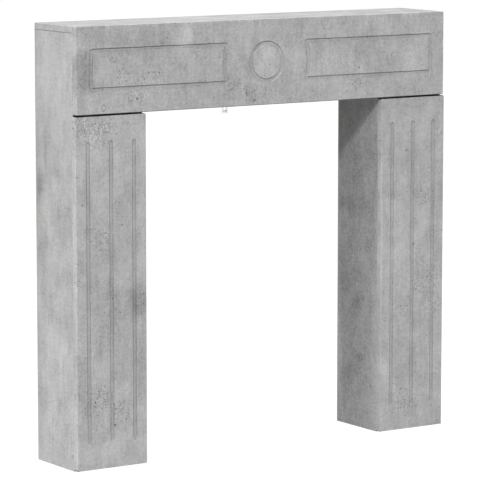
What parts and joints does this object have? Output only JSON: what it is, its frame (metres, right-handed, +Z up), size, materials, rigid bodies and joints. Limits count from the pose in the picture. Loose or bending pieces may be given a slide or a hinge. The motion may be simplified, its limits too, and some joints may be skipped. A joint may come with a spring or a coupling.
{
  "type": "fireplace mantelpiece",
  "caption": "Free-standing fireplace mantelpiece of flat boards with fluted legs, a routed frieze with roundel and sunk frames, and a printed concrete-look foil.",
  "frame": {"origin": "on the floor, in the middle of the width and the depth", "axes": "+X to the right seen from the front, -Y out of the front, +Y towards the wall, +Z up"},
  "size_m": [1.03, 0.18, 1.01],
  "materials": {
    "concrete_foil": "engineered wood board with a matt printed foil that looks like cast concrete, cloudy grey with small dark pits",
    "zinc": "bright zinc plate, satin"
  },
  "bodies": {
    "root": {"top_board": "concrete_foil", "left_outer_side": "concrete_foil", "left_inner_side": "concrete_foil", "right_inner_side": "concrete_foil", "right_outer_side": "concrete_foil", "left_leg_back": "concrete_foil", "right_leg_back": "concrete_foil", "back_rail": "concrete_foil", "frieze_front": "concrete_foil", "left_leg_front": "concrete_foil", "right_leg_front": "concrete_foil", "wall_bracket": "zinc", "lower_bracket_screw": "zinc", "upper_bracket_screw": "zinc"}
  },
  "joints": []
}
